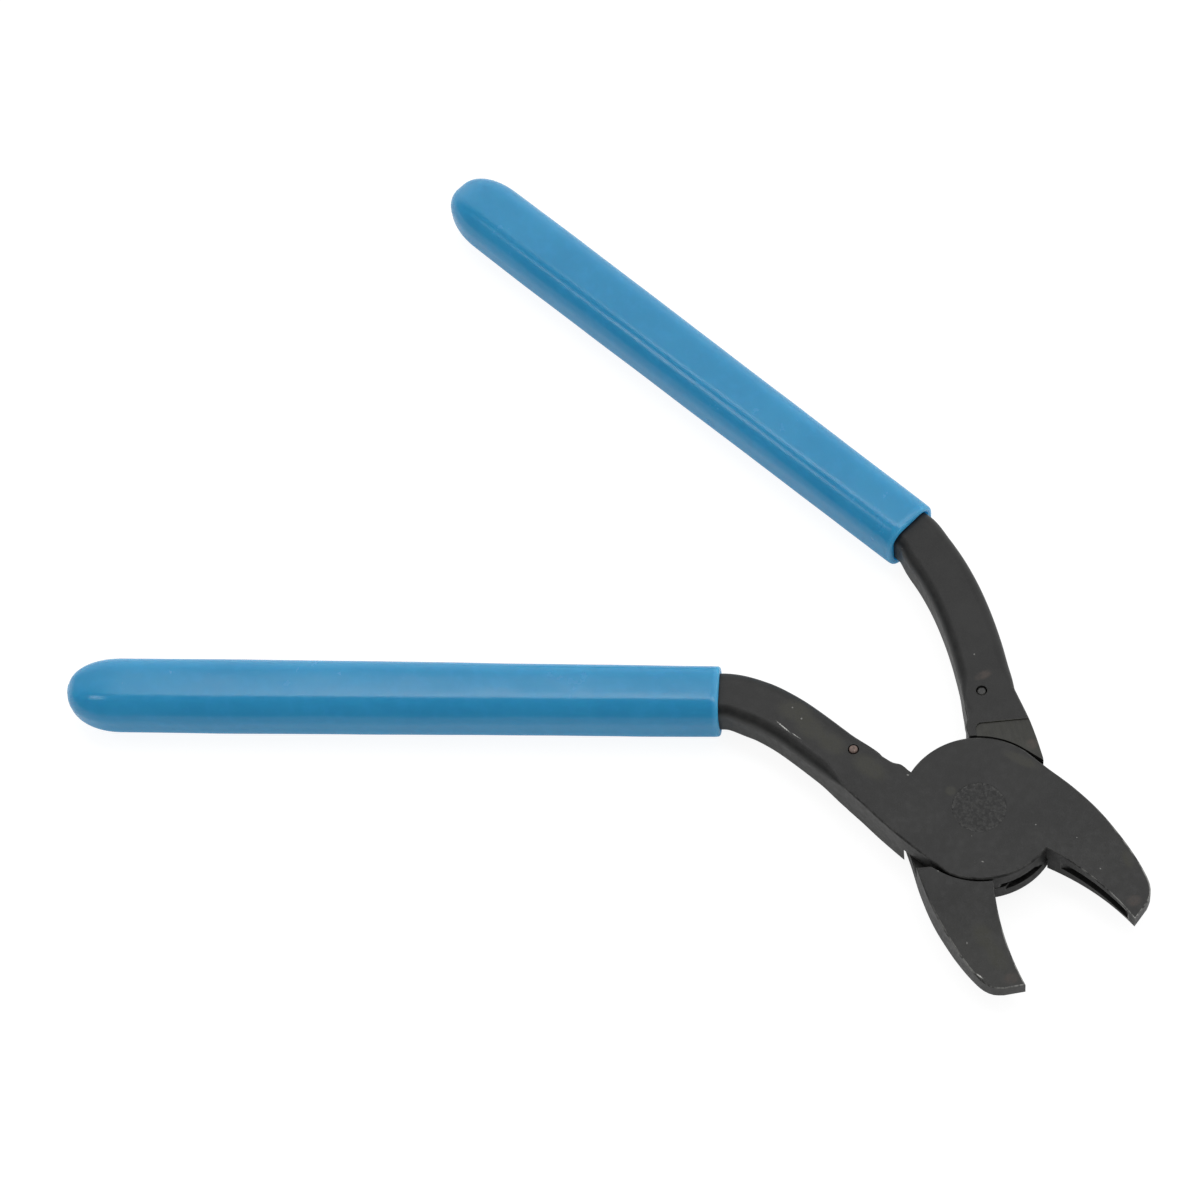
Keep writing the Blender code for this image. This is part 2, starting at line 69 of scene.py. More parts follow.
# (x past RELIEF_X, y) up the pocket's wall, from the pocket arc to the relief arc
RELIEF_WALL = [(0.2, 12.95), (0.14, 13.4), (0.08, 14.0), (0.05, 14.5),
               (-0.02, 14.95), (-0.12, 15.35), (-0.28, 15.8), (-0.45, 16.3)]

# jaw
JAW_NOTCH_DEG = 3.2
JAW_DIP = 1.25
JAW_TIP = (39.5, -0.15)
# (x, y) from the tip back to the disc
JAW_BACK = [(39.35, 4.3), (38.8, 6.3), (37.4, 8.05), (35.1, 9.5), (31.7, 11.08),
            (27.2, 12.7), (20.1, 14.6), (12.5, 15.65), (6.0, 16.0), (2.0, 16.32)]
# (x, half thickness)
JAW_TAPER = [(10.0, 5.15), (14.0, 5.04), (18.0, 4.75), (22.0, 4.3),
             (27.0, 3.62), (33.0, 2.75), (39.5, 1.86)]
# slot in the jaw's inner edge, cut by a disc; GROOVE_Y is its deepest point
GROOVE_W, GROOVE_R = 3.0, 15.2
GROOVE_X, GROOVE_Y = 28.0, 3.75

# rivet and pins
RIVET_SHANK_R = 4.5
RIVET_HEAD_R = 5.65
RIVET_HEAD_T = 1.5
RIVET_FIT = 0.02
RIVET_SUNK = 0.02
PIN_R = 0.95
PIN_HOLE_R = PIN_R + 0.25
PIN_FACE = 5.0                  # handle face that the pins' ends are set from
PIN_PROUD, PIN_SUNK = 0.25, 0.15

# handles
HANDLE_EDGE_R = 2.6
HANDLE_HALF_WIDTH = 5.3
HANDLE_HALF_THICK = 4.9
TANG_END_HALF_WIDTH = 4.3
TANG_END_HALF_THICK = 3.7
BARE_EXTRA = 0.28               # added half width between head and grip
TANG_END = 9.0                  # the tang stops this far short of the grip's end
# (x, y) of the edge step from the disc into the handle's +y edge
NECK = [(-17.2, -1.85), (-17.9, -1.74), (-18.8, -1.68), (-19.3, -1.75), (-19.9, -2.0),
        (-20.9, -2.33), (-23.5, -2.47)]
# (x, y) of the edge below the pivot, from the handle's root to the disc
HEEL = [(-6.6, -15.55), (-5.5, -15.62), (-2.0, -15.78), (1.5, -15.9), (3.2, -15.95)]

# grips: mouth (x, y), heading in degrees, length
Grip = namedtuple("Grip", "x y heading length")
FRONT_GRIP = Grip(-61.1, -10.98, 216.0, 146.0)
REAR_GRIP = Grip(-70.65, -1.57, 145.1, 147.0)
GRIP_GAP = 0.16
GRIP_CAP = 12.0
LIP_REACH = 0.63

# handle centre lines: (x, y, heading in degrees or None to follow the neighbours)
FRONT_PATH = [(-24.0, -7.8, 176.5), (-33.0, -7.15, None), (-42.0, -6.72, 178.5),
              (-47.5, -6.85, None), (-53.0, -7.7, None), (-60.36, -10.44, 216.0)]
REAR_PATH = [(-24.0, -8.2, 181.0), (-31.0, -8.6, 179.5), (-38.0, -8.58, None),
             (-45.0, -8.18, None), (-52.0, -7.3, None), (-58.5, -5.9, None),
             (-64.1, -4.15, None), (-69.9, -2.10, 145.1)]
# (x, y) of the handle's -y edge where it widens into the head
FRONT_ROOT = [(-20.2, -13.95), (-15.7, -14.65), (-12.0, -15.1), (-8.6, -15.45)]
REAR_ROOT = [(-25.4, -13.9), (-20.5, -14.75), (-17.1, -15.25), (-12.5, -15.6),
             (-8.5, -15.75)]
FRONT_PIN = (-29.3, -4.9)
REAR_PIN = (-26.8, -6.95)

# (x, y) of the shallow step cut into each lever's -z face
PATCH = [(-19.3, -4.8), (-19.2, -4.45), (-18.95, -4.1), (-18.6, -3.8), (-18.2, -3.6),
         (-17.7, -3.5), (-4.0, -3.5), (-4.0, -20.0), (-17.4, -20.0)]
PATCH_DEPTH = 0.3

ARC_STEP_DEG = 1.5
ROUND_STEPS = 6
PATH_STEP = 0.8


# ------------------------------------------------------------------- helpers
def polar(radius, degrees):
    angle = math.radians(degrees)
    return Vector((radius * math.cos(angle), radius * math.sin(angle)))


def arc(radius, angles):
    return [polar(radius, angle) for angle in angles]


def lerp(start, end, share):
    return start + (end - start) * share


def look_up(rows, x):
    """The value at x in rows of (x, value), straight between rows."""
    if x <= rows[0][0]:
        return rows[0][1]
    for (x0, value0), (x1, value1) in zip(rows, rows[1:]):
        if x <= x1:
            return lerp(value0, value1, (x - x0) / (x1 - x0))
    return rows[-1][1]


def ease(x, low, high):
    share = min(1.0, max(0.0, (x - low) / (high - low)))
    return share * share * (3 - 2 * share)


def stations(start, end, step):
    """Even stations from start to end, about one step apart."""
    count = max(1, round((end - start) / step))
    return [lerp(start, end, k / count) for k in range(count + 1)]


def hermite(points, step):
    """A smooth line through (x, y, heading or None) points."""
    knots = [Vector(point[:2]) for point in points]
    headings = []
    for i, point in enumerate(points):
        if point[2] is not None:
            headings.append(polar(1.0, point[2]))
        else:
            headings.append((knots[i + 1] - knots[i - 1]).normalized())
    line = []
    for i in range(len(knots) - 1):
        chord = (knots[i + 1] - knots[i]).length
        count = max(2, round(chord / step))
        leave, arrive = headings[i] * chord, headings[i + 1] * chord
        for k in range(count):
            t = k / count
            line.append(knots[i] * (2 * t**3 - 3 * t**2 + 1)
                        + leave * (t**3 - 2 * t**2 + t)
                        + knots[i + 1] * (-2 * t**3 + 3 * t**2)
                        + arrive * (t**3 - t**2))
    line.append(knots[-1])
    return line


def spline_through(points, step):
    """A smooth line through (x, y) points, its ends aimed along the end chords."""
    def aimed(point, chord):
        return (*point, math.degrees(math.atan2(chord.y, chord.x)))

    knots = [(x, y, None) for x, y in points]
    knots[0] = aimed(points[0], Vector(points[1]) - Vector(points[0]))
    knots[-1] = aimed(points[-1], Vector(points[-1]) - Vector(points[-2]))
    return hermite(knots, step)


def left_normals(line):
    normals = []
    for i in range(len(line)):
        before = line[max(0, i - 1)]
        after = line[min(len(line) - 1, i + 1)]
        along = (after - before).normalized()
        normals.append(Vector((-along.y, along.x)))
    return normals


def new_object(name, data):
    obj = bpy.data.objects.new(name, data)
    bpy.context.scene.collection.objects.link(obj)
    return obj


def mesh_of(bm, name):
    bmesh.ops.recalc_face_normals(bm, faces=bm.faces)
    mesh = bpy.data.meshes.new(name)
    bm.to_mesh(mesh)
    bm.free()
    return mesh


def evaluated_mesh(obj):
    bpy.context.view_layer.update()
    graph = bpy.context.evaluated_depsgraph_get()
    return bpy.data.meshes.new_from_object(obj.evaluated_get(graph))


def bridge(bm, lower, upper):
    """Quads between two rings of equal count."""
    count = len(lower)
    for i in range(count):
        j = (i + 1) % count
        bm.faces.new((lower[i], lower[j], upper[j], upper[i]))


def prism(name, points, z_low, z_high):
    curve = bpy.data.curves.new(name, "CURVE")
    curve.dimensions = "2D"
    curve.fill_mode = "BOTH"
    curve.extrude = (z_high - z_low) / 2 * MM
    spline = curve.splines.new("POLY")
    spline.points.add(len(points) - 1)
    for spline_point, point in zip(spline.points, points):
        spline_point.co = (point[0] * MM, point[1] * MM, 0.0, 1.0)
    spline.use_cyclic_u = True
    temp = new_object(name + "_curve", curve)
    mesh = evaluated_mesh(temp)
    bpy.data.objects.remove(temp, do_unlink=True)
    bpy.data.curves.remove(curve)
    bm = bmesh.new()
    bm.from_mesh(mesh)
    bmesh.ops.remove_doubles(bm, verts=bm.verts, dist=1e-6)
    bmesh.ops.translate(bm, verts=bm.verts, vec=(0, 0, (z_low + z_high) / 2 * MM))
    bmesh.ops.recalc_face_normals(bm, faces=bm.faces)
    bm.to_mesh(mesh)
    bm.free()
    return new_object(name, mesh)


def lathe(name, profile, segments, wobble=None):
    """A closed turned mesh from (radius, z) points, first and last on the axis."""
    bm = bmesh.new()
    rings = []
    for radius, z in profile:
        if radius == 0.0:
            rings.append([bm.verts.new((0, 0, z * MM))])
            continue
        ring = []
        for i in range(segments):
            angle = 2 * math.pi * i / segments
            lift = wobble(radius, angle, z) if wobble else 0.0
            ring.append(bm.verts.new((radius * MM * math.cos(angle),
                                      radius * MM * math.sin(angle), (z + lift) * MM)))
        rings.append(ring)
    for upper, lower in zip(rings, rings[1:]):
        for i in range(segments):
            j = (i + 1) % segments
            if len(upper) == 1:
                bm.faces.new((upper[0], lower[i], lower[j]))
            elif len(lower) == 1:
                bm.faces.new((upper[i], lower[0], upper[j]))
            else:
                bm.faces.new((upper[i], lower[i], lower[j], upper[j]))
    return mesh_of(bm, name)


def drum(name, radius, depth, centre, segments):
    bm = bmesh.new()
    bmesh.ops.create_cone(bm, cap_ends=True, segments=segments, radius1=radius * MM,
                          radius2=radius * MM, depth=depth * MM)
    bmesh.ops.translate(bm, verts=bm.verts, vec=Vector(centre) * MM)
    return new_object(name, mesh_of(bm, name))


# ------------------------------------------------------------------ levers
def rounded_plate(outline, radii):
    """A plate of the head's thickness; each outline point has its own edge radius."""
    bm = bmesh.new()
    inward = []
    for i, point in enumerate(outline):
        before = (point - outline[i - 1]).normalized()
        after = (outline[(i + 1) % len(outline)] - point).normalized()
        normal = Vector((-before.y, before.x))
        mitre = normal + Vector((-after.y, after.x))
        mitre = mitre / max(mitre.length, 1e-6)
        inward.append(mitre / max(0.45, mitre.dot(normal)))
    rings = []
    for side in (-1, 1):
        for k in range(ROUND_STEPS + 1):
            share = k / ROUND_STEPS
            phi = math.radians(90 * (1 - share)) if side < 0 else math.radians(90 * share)
            ring = []
            for point, mitre, radius in zip(outline, inward, radii):
                spot = point + mitre * (radius * (1 - math.cos(phi)))
                z = side * ((HALF - radius) + radius * math.sin(phi))
                ring.append(bm.verts.new((spot.x, spot.y, z)))
            rings.append(ring)
    for lower, upper in zip(rings, rings[1:]):
        bridge(bm, lower, upper)
    bm.faces.new(list(reversed(rings[0])))
    bm.faces.new(rings[-1])
    return bm


def thickness_rows(grip):
    """(x, half thickness) along the whole lever, with the knees rounded."""
    end = Vector(grip[:2]) + polar(grip.length, grip.heading)
    rows = [(end.x, TANG_END_HALF_THICK), (grip.x, HANDLE_HALF_THICK),
            (-36.0, HANDLE_HALF_THICK), (-30.0, 5.0), (-25.0, HALF)] + JAW_TAPER
    reach = 1.6
    weights = ((-1, 1), (-0.5, 2), (0, 2), (0.5, 2), (1, 1))
    smooth = [(x, sum(look_up(rows, x + reach * shift) * weight
                      for shift, weight in weights) / 8.0)
              for x in stations(-90.0, rows[-1][0], 0.9)]
    smooth[-1] = rows[-1]
    return [rows[0]] + smooth


def thin_along_x(bm, grip):
    cuts = stations(8.5, 38.2, 1.8) + [-24.0, -26.0, -28.0, -31.0, -34.0, -37.0, grip.x]
    for x in cuts:
        bmesh.ops.bisect_plane(
            bm, geom=bm.verts[:] + bm.edges[:] + bm.faces[:], dist=1e-5,
            plane_co=(x, 0, 0), plane_no=(1, 0, 0))
    rows = thickness_rows(grip)
    for vert in bm.verts:
        vert.co.z *= look_up(rows, vert.co.x) / HALF


def jaw_inner():
    """The jaw's inner edge, hollowed towards +y between the notch and the tip."""
    notch, tip, count = polar(DISC_R, JAW_NOTCH_DEG), Vector(JAW_TIP), 26
    edge = []
    for k in range(count + 1):
        t = k / count
        point = notch.lerp(tip, t)
        edge.append(Vector((point.x, point.y + JAW_DIP * 4 * t * (1 - t))))
    return edge


def lever_outline(path_points, grip, root):
    """Outline points and edge radii, anticlockwise from the jaw's notch."""
    outline, radii = [], []

    def put(points, radius):
        for point in points:
            point = Vector(point[:2])
            if outline and (outline[-1] - point).length < 0.05:
                continue
            outline.append(point)
            radii.append(radius(point) if callable(radius) else radius)

    put(jaw_inner(), 0.3)
    put(spline_through(JAW_BACK + [tuple(polar(DISC_R, DISC_FROM_DEG))], 0.9), 0.42)
    put(arc(DISC_R, stations(DISC_FROM_DEG, 183.0, ARC_STEP_DEG)[1:-1]), EDGE_R)
    put(arc(DISC_R, (183.5, 184.6, 185.6, 186.3)), EDGE_R)
    put(spline_through(NECK, 0.4),
        lambda point: lerp(0.32, EDGE_R, ease(abs(point.x + 18.6), 1.0, 2.5)))

    axis = polar(1.0, grip.heading)
    mouth = Vector(grip[:2])
    path = hermite(path_points, PATH_STEP)
    path += [mouth + axis * reach
             for reach in [0.0] + stations(4.0, grip.length - TANG_END, 4.0)]
    left = left_normals(path)
    end = path[-1]
    tang = (end - mouth).length

    def half_width(point):
        reach = (point - mouth).dot(axis)
        bare = BARE_EXTRA * ease(-reach, 1.5, 8.0) * ease(-point.x, 20.0, 25.0)
        return lerp(HANDLE_HALF_WIDTH, TANG_END_HALF_WIDTH, max(0.0, reach) / tang) + bare

    def edge(point):
        return lerp(0.7, HANDLE_EDGE_R, ease(-point.x, 25.0, 33.0))

    # out along the +y edge, round the tang's end, back along the -y edge
    put([point - normal * half_width(point)
         for point, normal in zip(path[1:-1], left[1:-1])], edge)
    width = TANG_END_HALF_WIDTH
    put([end - left[-1] * width], edge)
    put([end + axis * (width * 0.75 * math.sin(math.radians(angle)))
         - left[-1] * (width * math.cos(math.radians(angle)))
         for angle in range(15, 180, 15)], HANDLE_EDGE_R)
    put([end + left[-1] * width], edge)
    put([point + normal * half_width(point)
         for point, normal in zip(reversed(path[1:-1]), reversed(left[1:-1]))
         if point.x < root[0][0] - 0.9], edge)

    put(spline_through([tuple(outline[-1])] + root, 0.7)[1:], EDGE_R)
    put(spline_through(HEEL, 0.7), EDGE_R)
    first = math.degrees(math.atan2(DISC_LAST[1], DISC_LAST[0]))
    count = int((JAW_NOTCH_DEG - first) / ARC_STEP_DEG)
    put(arc(DISC_R, [lerp(first, JAW_NOTCH_DEG, k / count) for k in range(count)]), EDGE_R)
    return outline, radii


def pocket_outline():
    """The space the other lever's disc and jaw sweep, with a relief above the disc."""
    stop = 180.0 + (90.0 - STOP_DEG)
    points = arc(POCKET_R, stations(-1.0, RELIEF_FROM_DEG, ARC_STEP_DEG))
    points += [Vector((RELIEF_X + past, y)) for past, y in RELIEF_WALL]
    points += arc(RELIEF_R, stations(62.0, RELIEF_TO_DEG, 3.0))
    points += arc(POCKET_R, stations(RELIEF_TO_DEG, stop, ARC_STEP_DEG))
    along = Vector((-math.sin(math.radians(stop)), math.cos(math.radians(stop))))
    points += [polar(POCKET_R, stop) + along * 9.0,
               Vector((0.0, -24.0)), Vector((17.0, -17.0)), Vector((24.0, -2.0))]
    return points


def rivet_bore(name):
    """Cutter for the shank's hole with its conical head seat on the +z face."""
    head, shank = RIVET_HEAD_R + RIVET_FIT, RIVET_SHANK_R + RIVET_FIT
    profile = [(0.0, 8.0), (head, 8.0), (head, HALF - 0.35),
               (shank, HALF - RIVET_HEAD_T - RIVET_FIT), (shank, -8.0), (0.0, -8.0)]
    return new_object(name, lathe(name, profile, 144))


def mark_edges(mesh):
    """Point attribute `wear`: 1 on tight convex edges, 0 on flats and hollows."""
    bm = bmesh.new()
    bm.from_mesh(mesh)
    bm.normal_update()
    worn = [0.0] * len(bm.verts)
    for edge in bm.edges:
        if len(edge.link_faces) != 2 or not edge.is_convex:
            continue
        first, second = edge.link_faces
        angle = first.normal.angle(second.normal, 0.0)
        if angle < 0.05:
            continue
        middle = (edge.verts[0].co + edge.verts[1].co) / 2
        span = 0.0
        along = (edge.verts[1].co - edge.verts[0].co).normalized()
        for face in (first, second):
            across = face.normal.cross(along)
            span += max(abs((vert.co - middle).dot(across)) for vert in face.verts)
        bend = angle / max(span * 500.0, 0.05)
        for vert in edge.verts:
            worn[vert.index] = max(worn[vert.index], min(1.0, bend / 2.2))
    bm.free()
    mesh.attributes.new("wear", "FLOAT", "POINT").data.foreach_set("value", worn)


def build_lever(name, path, grip, root, pin):
    bm = rounded_plate(*lever_outline(path, grip, root))
    thin_along_x(bm, grip)
    bmesh.ops.scale(bm, verts=bm.verts, vec=(MM, MM, MM))
    lever = new_object(name + "_blank", mesh_of(bm, name + "_blank"))

    pocket = prism(name + "_pocket", pocket_outline(), -8.0, LAP_GAP / 2)
    groove = drum(name + "_groove", GROOVE_R, GROOVE_W,
                  (GROOVE_X, GROOVE_Y - GROOVE_R, 0.0), 180)
    patch = prism(name + "_patch", PATCH, -8.0, -HALF + PATCH_DEPTH)
    bore = rivet_bore(name + "_bore")
    pin_hole = drum(name + "_pin_hole", PIN_HOLE_R, 16.0, (*pin, 0.0), 48)
    cutters = [pocket, groove, patch, bore, pin_hole]
    for cutter in cutters:
        cut = lever.modifiers.new("cut", "BOOLEAN")
        cut.operation = "DIFFERENCE"
        cut.solver = "EXACT"
        cut.object = cutter
        if cutter is groove:
            # break the sharp edges made so far; later cuts stay crisp
            bevel = lever.modifiers.new("break", "BEVEL")
            bevel.width = 0.14 * MM
            bevel.segments = 2
            bevel.limit_method = "ANGLE"
            bevel.angle_limit = math.radians(48)
            bevel.use_clamp_overlap = True
    mesh = evaluated_mesh(lever)
    mesh.name = name
    for leftover in cutters + [lever]:
        bpy.data.objects.remove(leftover, do_unlink=True)

    mark_edges(mesh)
    mesh.shade_smooth()
    mesh.set_sharp_from_angle(angle=math.radians(38))
    obj = new_object(name, mesh)
    weighted = obj.modifiers.new("normals", "WEIGHTED_NORMAL")
    weighted.mode = "FACE_AREA"
    weighted.keep_sharp = True
    weighted.weight = 60
    return obj


# ------------------------------------------------------------------- grips
def section(half_w, half_t, radius, crown):
    """Points round a rounded rectangle, starting at the middle of its +x side's
    arc; the two wide sides are crowned."""
    corner_steps, side_steps = 12, 5
    radius = min(radius, half_w * 0.999, half_t * 0.999)
    points = []

    def side_to(target):
        last = points[-1]
        for k in range(1, side_steps):
            points.append(last.lerp(target, k / side_steps))

    for sign_x, sign_y, first in ((1, 1, 0), (-1, 1, 90), (-1, -1, 180), (1, -1, 270)):
        corner = []
        for k in range(corner_steps + 1):
            angle = math.radians(first + 90 * k / corner_steps)
            corner.append(Vector((sign_x * (half_w - radius) + radius * math.cos(angle),
                                  sign_y * (half_t - radius) + radius * math.sin(angle))))
        if points:
            side_to(corner[0])
        points += corner
    side_to(points[0])
    for point in points:
        if abs(point.y) > 1e-4:
            point.y += math.copysign(crown * (1 - (point.x / half_w) ** 2), point.y)
    return points


def grip_size(share):
    """Half width, half thickness and corner radius at a share of the length."""
    return (lerp(7.0, 7.95, min(1.0, share * 1.3)), lerp(6.65, 6.35, share),
            lerp(4.6, 5.2, share))


def build_grip(name, grip, seed, skew, nib):
    """A dipped sleeve; skew shifts its closed end, nib is the last drip's length."""
    axis, mouth, length = polar(1.0, grip.heading), Vector(grip[:2]), grip.length
    side = Vector((-axis.y, axis.x))
    bm = bmesh.new()
    rings = []

    def add(reach, half_w, half_t, radius, drift=(0.0, 0.0), uneven=1.0):
        ring = []
        centre = mouth + axis * reach
        for rim in section(half_w, half_t, radius, 0.25 * uneven):
            across, z = rim.x + drift[0], rim.y + drift[1]
            point = Vector((centre.x + side.x * across, centre.y + side.y * across, z))
            if uneven:
                out = Vector((side.x * rim.x, side.y * rim.x, rim.y)).normalized()
                spot = Vector((reach * 0.035, rim.x * 0.11, rim.y * 0.11 + seed))
                point += out * (0.10 * uneven * noise.noise(spot)
                                + 0.035 * uneven * noise.noise(spot * 3.1))
            ring.append(bm.verts.new(point * MM))
        rings.append(ring)

    tang = length - TANG_END

    def bore(reach):
        return (lerp(HANDLE_HALF_WIDTH, TANG_END_HALF_WIDTH, reach / tang) + GRIP_GAP,
                lerp(HANDLE_HALF_THICK, TANG_END_HALF_THICK, reach / length) + GRIP_GAP)

    # inside, from its closed end out to the mouth
    for reach in reversed(stations(0.0, tang + 3.5, 7.0)[1:]):
        add(reach, *bore(reach), 2.4, uneven=0.0)
    # the lip is a soft round from the bore to the outer skin
    in_w, in_t = bore(0.0)
    out_w, out_t, out_r = grip_size(0.0)
    add(0.9, in_w, in_t, 2.4, uneven=0.0)
    add(0.45, in_w + 0.02, in_t + 0.02, 2.45, uneven=0.0)
    for k in range(8):
        angle = math.radians(-80 + 170 * k / 7)
        share = (math.sin(angle) + 1) / 2
        reach = LIP_REACH * (1 - math.cos(angle)) * (1.0 if angle > 0 else 0.55)
        add(reach, lerp(in_w + 0.05, out_w - 0.05, share),
            lerp(in_t + 0.05, out_t - 0.05, share), lerp(2.5, out_r - 0.1, share),
            uneven=0.35 * share)
    for reach in stations(1.2, 6.0, 0.8) + stations(7.5, length - GRIP_CAP, 2.5):
        add(reach, *grip_size(reach / length))
    # the domed closed end
    half_w, half_t, radius = grip_size(1.0)
    for k in range(1, 15):
        angle = math.radians(90 * k / 15)
        shrink = math.cos(angle) ** 0.85
        pull = 1 - shrink
        add(length - GRIP_CAP + GRIP_CAP * math.sin(angle), half_w * shrink, half_t * shrink,
            min(radius, min(half_w, half_t) * 0.94) * shrink,
            (skew[0] * pull, skew[1] * pull), uneven=shrink)
    # the last drip, a small soft nib: (size, reach) shares
    for size, reach in ((0.75, 0.12), (0.5, 0.38), (0.28, 0.62), (0.12, 0.74)):
        add(length + reach * nib, 1.9 * size + 0.1, 1.5 * size + 0.1, 1.5 * size, skew,
            uneven=0.0)

    for lower, upper in zip(rings, rings[1:]):
        bridge(bm, lower, upper)
    bm.faces.new(list(reversed(rings[0])))
    bm.faces.new(rings[-1])
    mesh = mesh_of(bm, name)
    mesh.shade_smooth()
    return new_object(name, mesh)


# ---------------------------------------------------------- rivet and pins
def peened(radius, angle, z):
    """Small hammered unevenness of the rivet's two end faces."""
    if abs(z) < HALF - RIVET_SUNK:
        return 0.0
    spot = Vector((radius * math.cos(angle) * 1.1, radius * math.sin(angle) * 1.1, z))
    return 0.035 * noise.noise(spot) + 0.02 * noise.noise(spot * 2.7)


def build_rivet():
    # (radius, depth below the head's face) out over each rim
    top_rim = [(5.25, 0.01), (5.45, 0.01), (5.60, 0.012), (RIVET_HEAD_R, RIVET_SUNK),
               (RIVET_HEAD_R, 0.3), (RIVET_SHANK_R, RIVET_HEAD_T)]
    bottom_rim = [(5.25, 0.01), (5.45, 0.01), (5.60, 0.02), (RIVET_HEAD_R, 0.06),
                  (RIVET_HEAD_R, 0.3), (RIVET_SHANK_R, RIVET_HEAD_T)]
    face = [(0.0, RIVET_SUNK)] + [(0.35 * k, RIVET_SUNK) for k in range(1, 15)]
    profile = [(radius, HALF - depth) for radius, depth in face + top_rim]
    profile += [(radius, -HALF + depth) for radius, depth in reversed(face + bottom_rim)]
    mesh = lathe("rivet_peened", profile, 96, peened)
    mesh.shade_smooth()
    mesh.set_sharp_from_angle(angle=math.radians(50))
    return new_object("rivet_peened", mesh)


def build_pin(name, top):
    bottom = -PIN_FACE + PIN_SUNK
    # (radius, depth below the end face) over a rounded end
    end = [(0.0, 0.0), (PIN_R * 0.35, 0.0), (PIN_R * 0.7, 0.02), (PIN_R - 0.1, 0.07),
           (PIN_R - 0.02, 0.16), (PIN_R, 0.28)]
    profile = [(radius, top - depth) for radius, depth in end]
    profile += [(radius, bottom + depth) for radius, depth in reversed(end)]
    mesh = lathe(name, profile, 40)
    mesh.shade_smooth()
    return new_object(name, mesh)


